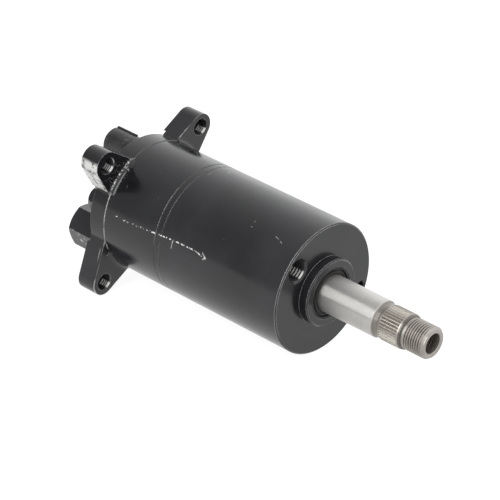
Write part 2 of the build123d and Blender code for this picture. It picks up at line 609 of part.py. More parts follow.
with BuildPart() as seal_case:
    turned([(SEAL_FLOOR, SEAL_REAR_R), (SEAL_FLOOR, SEAL_R - 0.4), (SEAL_FLOOR + 0.4, SEAL_R),
            (SEAL_FACE - 0.3, SEAL_R), (SEAL_FACE, SEAL_R - 0.3), (SEAL_FACE, SEAL_R - 0.8),
            (SEAL_FACE - 0.4, case_bore_r), (SEAL_WEB_X[1], case_bore_r), (SEAL_WEB_X[1], SEAL_WEB_R),
            (SEAL_WEB_X[0], SEAL_WEB_R), (SEAL_WEB_X[0], case_bore_r), (SEAL_FLOOR + 1, case_bore_r),
            (SEAL_FLOOR + 1, SEAL_REAR_R)])
save(seal_case.part, "seal_case")

with BuildPart() as seal_lip:
    # main lip that points inwards, web around the case's flange, and the dust lip seen from outside
    turned([(SEAL_WEB_X[0], SEAL_WEB_R), (SEAL_WEB_X[0], 12.6), (2.1, 12.2), (0.6, 12.3), (-0.2, 12.6),
            (-0.4, 12.0), (1.0, LIP_R), (2.2, 11.6), (3.4, 11.9), (4.3, LIP_R), (4.9, LIP_R),
            (5.0, LIP_CREST_R[0] - 0.3), (SEAL_FACE, LIP_CREST_R[0]), (SEAL_FACE, LIP_CREST_R[1]),
            (4.6, LIP_CREST_R[1] + 0.3), (4.4, case_bore_r - 0.1), (SEAL_WEB_X[1], case_bore_r - 0.1),
            (SEAL_WEB_X[1], SEAL_WEB_R)])
save(seal_lip.part, "seal_lip")

with BuildPart() as garter_spring:
    with BuildSketch(Plane.XY) as garter_section:
        with Locations(GARTER_AT):
            Circle(GARTER_R)
    revolve(garter_section.sketch, axis=Axis.X)
save(garter_spring.part, "garter_spring")

# ---- port adapters and their sealing washers -------------------------------------------------------
SEAL_WASHER_T = 1.0


def chamfered_hex(x_end, x_seat, across_flats, at):
    """Hexagonal bar with its corners turned down at both ends."""
    flat_r = across_flats / 2
    hex_bar(x_end, x_seat, across_flats, at)
    with BuildSketch(Plane.XY) as section:
        with BuildLine():
            Polyline((x_end, 0), (x_end, flat_r), (x_end + 1.2, flat_r * 1.16),
                     (x_seat - 0.6, flat_r * 1.16), (x_seat, flat_r), (x_seat, 0), close=True)
        make_face()
    envelope = revolve(section.sketch, axis=Axis.X, mode=Mode.PRIVATE)
    add(envelope.moved(Location((0, at[0], at[1]))), mode=Mode.INTERSECT)


def port_adapter(at, label):
    """Hexagonal adapter: a threaded shank in the casing and a threaded port in its outer end."""
    with BuildPart() as adapter:
        chamfered_hex(ADAPTER_END, REAR_X - SEAL_WASHER_T, ADAPTER_AF, at)
        round_bar(REAR_X - SEAL_WASHER_T, PORT_FLOOR - SHANK_REACH, PORT_R, at)
        round_bar(ADAPTER_END, ADAPTER_END + ADAPTER_BORE_DEPTH, ADAPTER_BORE_R, at, Mode.SUBTRACT)
        cone_bar(ADAPTER_END, ADAPTER_END + 1.4, ADAPTER_BORE_R + 1.4, ADAPTER_BORE_R, at)
        round_bar(ADAPTER_END + ADAPTER_BORE_DEPTH, PORT_FLOOR - SHANK_REACH, ADAPTER_CORE_R, at,
                  Mode.SUBTRACT)
    save(adapter.part, label)


port_adapter(PORT_AT[0], "port_adapter_left")
port_adapter(PORT_AT[1], "port_adapter_right")

with BuildPart() as port_washers:
    for port_place in PORT_AT:
        round_bar(REAR_X - SEAL_WASHER_T, REAR_X, PORT_WASHER_R, port_place)
        round_bar(REAR_X - SEAL_WASHER_T, REAR_X, PORT_R + 0.1, port_place, Mode.SUBTRACT)
save(port_washers.part, "port_washers")

# ---- drain connection ------------------------------------------------------------------------------
NIPPLE_FLANGE_X = REAR_X - 2.5
NIPPLE_FLANGE_R = 8.2
NIPPLE_R = 6.6
NIPPLE_BORE_R = 3.2
with BuildPart() as drain_nipple:
    round_bar(PORT_FLOOR - SHANK_REACH, REAR_X, PORT_R, DRAIN_AT)
    round_bar(REAR_X, NIPPLE_FLANGE_X, NIPPLE_FLANGE_R, DRAIN_AT)
    round_bar(NIPPLE_FLANGE_X, DRAIN_CAP_END + 3, NIPPLE_R, DRAIN_AT)
    round_bar(DRAIN_CAP_END + 3, PORT_FLOOR - SHANK_REACH, NIPPLE_BORE_R, DRAIN_AT, Mode.SUBTRACT)
save(drain_nipple.part, "drain_nipple")

with BuildPart() as drain_cap:
    round_bar(DRAIN_CAP_END, NIPPLE_FLANGE_X - 0.4, DRAIN_CAP_R, DRAIN_AT)
    chamfer(drain_cap.faces().sort_by(Axis.X)[0].edges(), length=1.0)
    # pairs of fine grip grooves, and one raised rib
    with BuildSketch(Plane.YZ.offset(DRAIN_CAP_END)) as grip:
        with Locations(DRAIN_AT):
            for pair_side in (-GRIP_PAIR_ANGLE, GRIP_PAIR_ANGLE):
                with PolarLocations(DRAIN_CAP_R, GRIP_PAIRS, start_angle=GRIP_ANGLE + pair_side):
                    Circle(GRIP_GROOVE_R)
    extrude(grip.sketch, amount=NIPPLE_FLANGE_X - 3 - DRAIN_CAP_END, mode=Mode.SUBTRACT)
    with BuildSketch(Plane.YZ.offset(RIB_X[0])) as rib:
        rib_at = polar(DRAIN_CAP_R, RIB_ANGLE)
        with Locations(Location((DRAIN_AT[0] + rib_at[0], DRAIN_AT[1] + rib_at[1], 0), (0, 0, RIB_ANGLE))):
            Rectangle(*RIB_SIZE)
    extrude(rib.sketch, amount=RIB_X[1] - RIB_X[0])
    round_bar(DRAIN_CAP_END + 2.4, NIPPLE_FLANGE_X, NIPPLE_R + 0.1, DRAIN_AT, Mode.SUBTRACT)
save(drain_cap.part, "drain_cap")

# ---- check valve -------------------------------------------------------------------------------------
ball_stand_off = math.sqrt(CHECK_BALL_R ** 2 - CHECK_SEAT_BORE_R ** 2) + 0.05
CHECK_BALL_X = CHECK_FLOOR - SEAT_T - ball_stand_off
CHECK_NOSE_X = CHECK_BALL_X - CHECK_BALL_R - CHECK_LIFT - 0.05
with BuildPart() as check_plug:
    chamfered_hex(CHECK_END, REAR_X, CHECK_AF, CHECK_AT)
    round_bar(REAR_X, REAR_X + 7, CHECK_R - 0.05, CHECK_AT)
    round_bar(REAR_X + 7, CHECK_NOSE_X, CHECK_R - 2.2, CHECK_AT)
save(check_plug.part, "check_plug")

with BuildPart() as check_seat:
    round_bar(CHECK_FLOOR - SEAT_T, CHECK_FLOOR, CHECK_R - 0.02, CHECK_AT)
    round_bar(CHECK_FLOOR - SEAT_T, CHECK_FLOOR, CHECK_SEAT_BORE_R, CHECK_AT, Mode.SUBTRACT)
save(check_seat.part, "check_seat")

with BuildPart() as check_ball:
    with Locations((CHECK_BALL_X, *CHECK_AT)):
        Sphere(CHECK_BALL_R)
save(check_ball.part, "check_ball")
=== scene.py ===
import json
import math

import bpy
from mathutils import Matrix, Vector


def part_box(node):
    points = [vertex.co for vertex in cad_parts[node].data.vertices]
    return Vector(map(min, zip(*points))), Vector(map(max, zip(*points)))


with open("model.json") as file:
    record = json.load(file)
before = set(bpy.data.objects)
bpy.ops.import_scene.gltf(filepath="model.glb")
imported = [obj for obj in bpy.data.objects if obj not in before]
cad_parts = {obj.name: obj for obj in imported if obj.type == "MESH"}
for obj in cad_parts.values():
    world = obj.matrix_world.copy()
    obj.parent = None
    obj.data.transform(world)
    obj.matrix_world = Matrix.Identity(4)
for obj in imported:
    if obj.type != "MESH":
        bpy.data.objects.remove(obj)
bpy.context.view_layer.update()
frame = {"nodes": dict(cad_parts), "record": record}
nodes = frame["nodes"]

# The frame: +X along the shaft towards its threaded end, +Z up, origin on the shaft axis in the
# plane of the round front face. Everything is in metres.
MM = 0.001
FRONT_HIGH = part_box("front_housing")[1]
PLATE_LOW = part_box("wear_plate")[0]
REAR_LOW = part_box("rear_housing")[0]
SHAFT_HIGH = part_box("output_shaft")[1]
BODY_R = FRONT_HIGH.z
EAR_THICKNESS = 13.0 * MM
FLANGE_FACE = REAR_LOW.x + EAR_THICKNESS     # front plane of the four ears
mounts = {mount["name"]: mount for mount in frame["record"]["mounts"]}
EAR_CIRCLE_R = mounts["mounting_ears"]["dims"]["pcd_mm"] / 2 * MM
EAR_HOLE_R = mounts["mounting_ears"]["dims"]["hole_r_mm"] * MM
FACE_HOLE = Vector(mounts["face_hole"]["pos_m"])
FACE_HOLE_R = mounts["face_hole"]["dims"]["r_mm"] * MM
GROUND_END = SHAFT_HIGH.x - 35.1 * MM        # end of the shaft's ground stretch
SERRATION = (SHAFT_HIGH.x - 30.4 * MM, SHAFT_HIGH.x - 17.4 * MM)
END_BORE_FLOOR = SHAFT_HIGH.x - 3.2 * MM     # just past the counterbore in the shaft end
BOSS_R = mounts["pilot_boss"]["dims"]["r_mm"] * MM


# ---- camera --------------------------------------------------------------------------------------
CAMERA_AZIMUTH = math.radians(41.5)
CAMERA_ELEVATION = math.radians(28.8)
CAMERA_ROLL = math.radians(3.36)
CAMERA_DISTANCE = 1.477
CAMERA_AIM = Vector((-0.0561, 0.0, 0.0017))
CAMERA_LENS = 187.2

sin_a, cos_a = math.sin(CAMERA_AZIMUTH), math.cos(CAMERA_AZIMUTH)
sin_e, cos_e = math.sin(CAMERA_ELEVATION), math.cos(CAMERA_ELEVATION)
to_camera = Vector((sin_a * cos_e, -cos_a * cos_e, sin_e))
level_right = Vector((cos_a, sin_a, 0.0))
level_up = to_camera.cross(level_right)
camera_right = level_right * math.cos(CAMERA_ROLL) + level_up * math.sin(CAMERA_ROLL)
camera_up = to_camera.cross(camera_right)
camera_data = bpy.data.cameras.new("camera")
camera_data.lens = CAMERA_LENS
camera_data.clip_start = 0.05
camera_data.clip_end = 50.0
camera = bpy.data.objects.new("camera", camera_data)
camera.matrix_world = Matrix((
    (camera_right.x, camera_up.x, to_camera.x, CAMERA_AIM.x + to_camera.x * CAMERA_DISTANCE),
    (camera_right.y, camera_up.y, to_camera.y, CAMERA_AIM.y + to_camera.y * CAMERA_DISTANCE),
    (camera_right.z, camera_up.z, to_camera.z, CAMERA_AIM.z + to_camera.z * CAMERA_DISTANCE),
    (0.0, 0.0, 0.0, 1.0)))
bpy.context.scene.collection.objects.link(camera)
bpy.context.scene.camera = camera


# ---- node trees ------------------------------------------------------------------------------------
EDGE_SAMPLES = 6


class Tree:
    """A material's node tree, with one short call for each kind of node."""

    def __init__(self, name, **shader):
        self.material = bpy.data.materials.new(name)
        self.material.use_nodes = True
        self.nodes = self.material.node_tree.nodes
        self.links = self.material.node_tree.links
        self.shader = self.nodes["Principled BSDF"]
        for socket, value in shader.items():
            self.shader.inputs[socket.replace("_", " ")].default_value = value
        # object space, so that marks stay on the piece in every pose
        self.place = self.nodes.new("ShaderNodeTexCoord").outputs["Object"]

    def connect(self, value, socket):
        """Link an output to a socket, or set the socket to a plain value."""
        if isinstance(value, bpy.types.NodeSocket):
            self.links.new(value, socket)
        else:
            socket.default_value = value

    def noise(self, scale, detail=3.0, roughness=0.5, at=None, stretch=None, seed=0.0):
        node = self.nodes.new("ShaderNodeTexNoise")
        node.noise_dimensions = "4D"
        node.inputs["W"].default_value = seed
        node.inputs["Scale"].default_value = scale
        node.inputs["Detail"].default_value = detail
        node.inputs["Roughness"].default_value = roughness
        self.connect(self.scaled(at or self.place, stretch) if stretch else at or self.place,
                     node.inputs["Vector"])
        return node.outputs["Fac"]

    def vector(self, operation, a, b=None, scale=None, output="Vector"):
        node = self.nodes.new("ShaderNodeVectorMath")
        node.operation = operation
        self.connect(a, node.inputs[0])
        if b is not None:
            self.connect(b, node.inputs[1])
        if scale is not None:
            self.connect(scale, node.inputs["Scale"])
        return node.outputs[output]

    def scaled(self, vector, factors):
        return self.vector("MULTIPLY", vector, factors)

    def ramp(self, value, low, high, out_low=0.0, out_high=1.0):
        """Value between low and high, smoothed onto out_low to out_high."""
        node = self.nodes.new("ShaderNodeMapRange")
        node.interpolation_type = "SMOOTHSTEP"
        self.connect(value, node.inputs["Value"])
        node.inputs["From Min"].default_value = low
        node.inputs["From Max"].default_value = high
        node.inputs["To Min"].default_value = out_low
        node.inputs["To Max"].default_value = out_high
        return node.outputs["Result"]

    def span(self, value, low, high, soft):
        """1 from low to high, falling to 0 over soft on each side."""
        rise = self.ramp(value, low - soft, low)
        return self.times(rise, self.ramp(value, high, high + soft, 1.0, 0.0))

    def math(self, operation, a, b=0.0, clamp=False):
        node = self.nodes.new("ShaderNodeMath")
        node.operation = operation
        node.use_clamp = clamp
        self.connect(a, node.inputs[0])
        self.connect(b, node.inputs[1])
        return node.outputs["Value"]

    def times(self, *factors):
        product = factors[0]
        for factor in factors[1:]:
            product = self.math("MULTIPLY", product, factor)
        return product

    def most(self, *values):
        highest = values[0]
        for value in values[1:]:
            highest = self.math("MAXIMUM", highest, value)
        return highest

    def mix(self, factor, a, b):
        """Colour a where factor is 0 and b where it is 1."""
        node = self.nodes.new("ShaderNodeMix")
        node.data_type = "RGBA"
        self.connect(factor, node.inputs["Factor"])
        self.connect(a, node.inputs["A"])
        self.connect(b, node.inputs["B"])
        return node.outputs["Result"]

    def blend(self, factor, a, b):
        """Number a where factor is 0 and b where it is 1."""
        node = self.nodes.new("ShaderNodeMix")
        self.connect(factor, node.inputs["Factor"])
        self.connect(a, node.inputs["A"])
        self.connect(b, node.inputs["B"])
        return node.outputs["Result"]

    def axes(self):
        """The x, y and z of the place."""
        node = self.nodes.new("ShaderNodeSeparateXYZ")
        self.connect(self.place, node.inputs["Vector"])
        return node.outputs["X"], node.outputs["Y"], node.outputs["Z"]

    def around(self):
        """Distance from the shaft axis, and the turn about it in radians, from -Y towards +Z."""
        _, y, z = self.axes()
        square = self.math("ADD", self.times(y, y), self.times(z, z))
        return self.math("SQRT", square), self.math("ARCTAN2", z, self.times(y, -1.0))

    def unrolled(self, radius):
        """The round surface laid flat, as (x, arc length from the -Y side, 0)."""
        x, _, _ = self.axes()
        node = self.nodes.new("ShaderNodeCombineXYZ")
        self.connect(x, node.inputs["X"])
        self.connect(self.times(self.around()[1], radius), node.inputs["Y"])
        return node.outputs["Vector"]

    def stroke(self, flat, start, end, half_width):
        """1 on the line between two flat points, 0 beyond its half width."""
        run = Vector((end[0] - start[0], end[1] - start[1], 0.0))
        offset = self.vector("SUBTRACT", flat, (start[0], start[1], 0.0))
        along = self.vector("DOT_PRODUCT", offset, tuple(run / run.length_squared), output="Value")
        nearest = self.vector("SCALE", tuple(run), scale=self.math("ADD", along, 0.0, clamp=True))
        gap = self.vector("LENGTH", self.vector("SUBTRACT", offset, nearest), output="Value")
        return self.ramp(gap, half_width * 0.6, half_width, 1.0, 0.0)

    def facing(self, direction):
        """1 where the surface faces the direction, 0 at right angles to it and beyond."""
        true_normal = self.nodes.new("ShaderNodeNewGeometry").outputs["Normal"]
        toward = tuple(Vector(direction).normalized())
        return self.math("ADD", self.vector("DOT_PRODUCT", true_normal, toward, output="Value"), 0.0,
                         clamp=True)

    def soft_edge(self, radius):
        """Normal with the edges rounded by the radius."""
        bevel = self.nodes.new("ShaderNodeBevel")
        bevel.samples = EDGE_SAMPLES
        bevel.inputs["Radius"].default_value = radius
        return bevel.outputs["Normal"]

    def edge(self, radius):
        """0 on flat surfaces, rising where an edge lies within the radius."""
        true_normal = self.nodes.new("ShaderNodeNewGeometry").outputs["Normal"]
        agreement = self.vector("DOT_PRODUCT", self.soft_edge(radius), true_normal, output="Value")
        return self.math("SUBTRACT", 1.0, agreement)

    def hairline(self, radius):
        """1 in a hairline along the edges."""
        return self.ramp(self.edge(radius), 0.02, 0.16)

    def band(self, radius):
        """1 in a wider band along the edges."""
        return self.ramp(self.edge(radius), 0.03, 0.22)

    def bump(self, height, distance, strength=1.0, normal=None):
        node = self.nodes.new("ShaderNodeBump")
        node.inputs["Strength"].default_value = strength
        node.inputs["Distance"].default_value = distance
        self.connect(height, node.inputs["Height"])
        if normal is not None:
            self.links.new(normal, node.inputs["Normal"])
        return node.outputs["Normal"]

    def finish(self, color=None, roughness=None, metallic=None, normal=None):
        for value, socket in ((color, "Base Color"), (roughness, "Roughness"),
                              (metallic, "Metallic"), (normal, "Normal")):
            if value is not None:
                self.connect(value, self.shader.inputs[socket])
        return self.material


# ---- materials ---------------------------------------------------------------------------------------
PAINT = (0.0060, 0.0060, 0.0070, 1.0)
PAINT_GREY = (0.0115, 0.0115, 0.0132, 1.0)
BARE = (0.62, 0.62, 0.60, 1.0)
DUST = (0.30, 0.30, 0.29, 1.0)
PAINT_GLOSS = 0.41           # specular level of the enamel
HOLE_GLOSS = 0.06            # and inside the threaded holes
WORN_ROUGHNESS = 0.42
MATT_ROUGHNESS = 0.60
HAIR_STRENGTH = 0.22

# marks on the body, as (millimetres of x, degrees from -Y towards +Z)
SPARSE_SCRATCH = ((-126.5, 13.5), (-118, 13), (-99, 15))
DOTTED_SCRATCH = ((-99, 15), (-81, 17), (-66, 17.5), (-55, 15.5))
SCRATCH_HOOK = ((-58, 18.5), (-55, 15.5), (-57, 14))
SCRATCH_TICK = ((-81, 16.5), (-81, 10))
SCUFFS = (((-19, 57.5), (-16.5, 56.5)), ((-14.5, 55.5), (-13, 54.5)), ((-36.5, 56), (-36, 56)))
SPARSE_HALF_WIDTH = 0.60 * MM
DOTTED_HALF_WIDTH = 0.48 * MM
HOOK_HALF_WIDTH = 0.45 * MM
THIN_HALF_WIDTH = 0.30 * MM
SCUFF_STRENGTH = 0.22


def polyline(t, flat, points, half_width):
    """Strokes through marks given in millimetres and degrees."""
    places = [(x * MM, BODY_R * math.radians(turn)) for x, turn in points]
    return t.most(*[t.stroke(flat, a, b, half_width) for a, b in zip(places, places[1:])])


def body_marks(t):
    """The dotted scratch along the side, its hook and tick, and three small scuffs."""
    flat = t.unrolled(BODY_R)
    grain = t.noise(620.0, 2.0, 0.6, at=flat, seed=41.0)
    dots = t.ramp(grain, 0.49, 0.56)
    dotted = t.times(polyline(t, flat, DOTTED_SCRATCH, DOTTED_HALF_WIDTH), dots)
    sparse = t.times(polyline(t, flat, SPARSE_SCRATCH, SPARSE_HALF_WIDTH), t.ramp(grain, 0.56, 0.62))
    hook = t.most(polyline(t, flat, SCRATCH_HOOK, HOOK_HALF_WIDTH),
                  polyline(t, flat, SCRATCH_TICK, THIN_HALF_WIDTH))
    hook = t.times(hook, t.ramp(dots, 0.0, 1.0, 0.35, 1.0))
    scuffs = t.most(*[polyline(t, flat, scuff, THIN_HALF_WIDTH) for scuff in SCUFFS])
    outer = t.ramp(t.around()[0], BODY_R - 0.0006, BODY_R - 0.0003)
    return t.times(t.most(dotted, sparse, hook, t.times(scuffs, SCUFF_STRENGTH)), outer)


def hair_scratches(t):
    """Long fine scratches in two directions, broken up along their length."""
    hairs = []
    for seed, stretch in ((11.0, (14.0, 700.0, 700.0)), (12.0, (500.0, 60.0, 18.0))):
        hair = t.ramp(t.noise(1.0, 1.0, 0.4, stretch=stretch, seed=seed), 0.735, 0.765)
        broken = t.ramp(t.noise(90.0, 2.0, 0.5, seed=seed + 1.0), 0.52, 0.62)
        hairs.append(t.times(hair, broken, HAIR_STRENGTH))
    return t.most(*hairs)


def enamel(t, wear, grain, dull=0.0):
    """Glossy black enamel over iron, with orange peel and fine dust.

    It is bare metal where wear is 1, and matt where dull is 1.
    """
    cloud = t.noise(22.0, 4.0, 0.55)
    base = t.mix(t.ramp(cloud, 0.42, 0.72), PAINT, PAINT_GREY)
    specks = t.times(t.ramp(t.noise(1400.0, 2.0, 0.5, seed=2.0), 0.70, 0.78),
                     t.ramp(t.noise(60.0, 3.0, 0.6, seed=3.0), 0.50, 0.66))
    base = t.mix(t.times(specks, 0.30), base, DUST)
    rough = t.blend(t.ramp(cloud, 0.35, 0.75), 0.17, 0.27)
    rough = t.blend(wear, t.math("ADD", rough, t.times(specks, 0.25)), WORN_ROUGHNESS)
    rough = t.blend(dull, rough, MATT_ROUGHNESS)
    peel = t.math("ADD", t.noise(160.0, 3.0, 0.5, seed=7.0),
                  t.times(t.noise(420.0, 4.0, 0.6, seed=1.0), 0.25))
    height = t.math("SUBTRACT", peel, t.times(wear, 0.5))
    return t.finish(color=t.mix(wear, base, BARE), roughness=rough, metallic=t.times(wear, 0.55),
                    normal=t.bump(height, grain, 1.0, t.soft_edge(0.0004)))


def hole_wear_and_glint(t):
    """Wear and a painted glint of the ear holes and the face hole, and 1 inside them.

    The wear is faint thread crests; a bare spot on each mouth, at its +Y and -Z side, is a painted glint.
    """
    _, y, z = t.axes()
    ear_arm = EAR_CIRCLE_R * math.sqrt(0.5)
    marks = []
    insides = []
    for side, lift, (middle_y, middle_z), crest_r in (
            (t.math("SIGN", y), t.math("SIGN", z), (ear_arm, ear_arm), EAR_HOLE_R),
            (1.0, 1.0, (FACE_HOLE.y, FACE_HOLE.z), FACE_HOLE_R)):
        dy = t.math("SUBTRACT", y, t.times(side, middle_y))
        dz = t.math("SUBTRACT", z, t.times(lift, middle_z))
        gap = t.math("SQRT", t.math("ADD", t.times(dy, dy), t.times(dz, dz)))
        leaning = t.math("DIVIDE", t.math("SUBTRACT", dy, dz), gap)
        # painted glint: a bare spot on the mouth, at its +Y and -Z side, where leaning comes near the
        # square root of 2
        painted_glint = t.times(t.span(gap, crest_r + 0.0004, crest_r + 0.0009, 0.0002),
                       t.ramp(leaning, 1.26, 1.38), 0.9)
        marks.append(t.most(t.ramp(gap, crest_r + 0.00012, crest_r + 0.00030, 0.04, 0.0), painted_glint))
        insides.append(t.ramp(gap, crest_r + 0.0006, crest_r + 0.0008, 1.0, 0.0))
    broken = t.ramp(t.noise(260.0, 3.0, 0.6, seed=10.0), 0.30, 0.50, 0.35, 1.0)
    return t.times(t.most(*marks), broken), t.most(*insides)


def sector(t, turn, low, high):
    """1 between two turns in degrees, with soft ends."""
    return t.span(turn, math.radians(low), math.radians(high), math.radians(2.0))


def flange_wear(t, thin, wide, patchy):
    """Chips on the step round the flange, on the roots of its ears and along their front edges, and a
    painted reflection sheen with some wear on one ear's flank.
    """
    x, _, _ = t.axes()
    radius, turn = t.around()
    fine = t.noise(900.0, 4.0, 0.7, seed=8.0)
    at_flange = t.span(x, FLANGE_FACE - 0.0009, FLANGE_FACE + 0.0009, 0.0003)
    off_body = t.ramp(radius, BODY_R + 0.0015, BODY_R + 0.0025)
    ear_tip = t.ramp(radius, EAR_CIRCLE_R - 0.0062, EAR_CIRCLE_R - 0.0042)
    step = t.times(at_flange, sector(t, turn, -24, 34), t.math("SUBTRACT", 1.0, off_body), wide,
                   t.ramp(patchy, 0.36, 0.50, 0.25, 0.85))
    upper_root = t.times(t.span(x, FLANGE_FACE - 0.0006, FLANGE_FACE + 0.0005, 0.0005),
                         sector(t, turn, 32, 64),
                         t.span(radius, BODY_R - 0.0006, BODY_R + 0.0018, 0.0006),
                         t.ramp(fine, 0.49, 0.57), 0.90)
    speckle = t.times(t.span(x, FLANGE_FACE - 0.0005, FLANGE_FACE + 0.003, 0.0020), sector(t, turn, 34, 62),
                      t.ramp(radius, EAR_CIRCLE_R - 0.0007, EAR_CIRCLE_R - 0.0097),
                      t.ramp(fine, 0.60, 0.66), 0.8)
    lower_edge = t.times(at_flange, sector(t, turn, -56, -38), ear_tip, wide,
                         t.ramp(patchy, 0.34, 0.46, 0.45, 1.0))
    upper_edge = t.times(at_flange, sector(t, turn, 108, 122), off_body, wide,
                         t.ramp(patchy, 0.46, 0.56, 0.0, 0.9))
    ear_edges = t.times(at_flange, off_body, thin, t.ramp(patchy, 0.42, 0.56, 0.10, 0.55))
    # bare patches on the down-facing flank of one ear: some wear, and a painted reflection sheen
    flank_wear_and_sheen = t.times(sector(t, turn, 30, 62), off_body,
                           t.ramp(t.facing((0.0, -0.85, -0.45)), 0.55, 0.80),
                           t.ramp(t.noise(300.0, 4.0, 0.65, seed=9.0), 0.36, 0.52), 0.75)
    return t.most(step, upper_root, speckle, lower_edge, upper_edge, ear_edges, flank_wear_and_sheen)


def front_wear(t, thin, wide, patchy):
    """Worn rim of the front face, edges of the pilot boss, and the edge of the rear seam."""
    x, _, _ = t.axes()
    radius, turn = t.around()
    rim = t.times(t.ramp(x, -0.0016, -0.0011), t.ramp(radius, BODY_R - 0.0015, BODY_R - 0.0009), wide,
                  t.ramp(t.span(turn, math.radians(-20), math.radians(95), 0.25), 0.0, 1.0, 0.10, 0.95),
                  t.ramp(patchy, 0.34, 0.50, 0.55, 1.0))
    boss = t.times(t.ramp(radius, BOSS_R + 0.0012, BOSS_R + 0.0006), t.ramp(x, -0.0002, 0.0002), thin,
                   t.ramp(patchy, 0.36, 0.58, 0.20, 0.75))
    seam = t.times(t.span(x, PLATE_LOW.x - 0.0006, PLATE_LOW.x, 0.0002), sector(t, turn, 4, 58), thin,
                   t.ramp(patchy, 0.36, 0.56, 0.25, 0.85))
    return t.most(rim, boss, seam)


def black_paint():
    """Paint of both castings, with the wear that each edge of them shows, painted glints on the hole mouths
    and a painted sheen with some wear on one ear's flank.
    """
    t = Tree("black_enamel", Specular_IOR_Level=PAINT_GLOSS)
    thin = t.hairline(0.0004)
    wide = t.band(0.0011)
    patchy = t.noise(190.0, 4.0, 0.65, seed=5.0)
    slow = t.noise(45.0, 2.0, 0.5, seed=6.0)
    faint = t.times(thin, t.ramp(slow, 0.38, 0.62, 0.05, 0.26))
    holes, inside = hole_wear_and_glint(t)
    wear = t.most(faint, flange_wear(t, thin, wide, patchy), front_wear(t, thin, wide, patchy),
                  hair_scratches(t), body_marks(t))
    # the hole marks carry the painted glints on the mouths
    wear = t.most(t.times(wear, t.math("SUBTRACT", 1.0, inside)), holes)
    t.connect(t.blend(inside, PAINT_GLOSS, HOLE_GLOSS), t.shader.inputs["Specular IOR Level"])
    return enamel(t, wear, 0.00006, inside)


def plate_paint():
    """Paint of the plate between the seams."""
    t = Tree("plate_enamel", Specular_IOR_Level=PAINT_GLOSS)
    faint = t.times(t.hairline(0.0005), t.ramp(t.noise(60.0, seed=6.0), 0.38, 0.62, 0.10, 0.40))
    return enamel(t, t.most(faint, hair_scratches(t), body_marks(t)), 0.00005)


def fitting_paint():
    """Paint of the fittings: chipped corners, and more chips on the flats that face down."""
    t = Tree("fitting_enamel", Specular_IOR_Level=PAINT_GLOSS)
    chips = t.times(t.band(0.0010), t.ramp(t.noise(170.0, 4.0, 0.65, seed=5.0), 0.50, 0.56), 0.9)
    low = t.times(t.facing((0.0, -0.35, -1.0)),
                  t.ramp(t.noise(330.0, 3.0, 0.6, seed=6.0), 0.57, 0.64), 0.8)
    faint = t.times(t.hairline(0.0004), 0.22)
    return enamel(t, t.most(chips, low, faint), 0.00005)


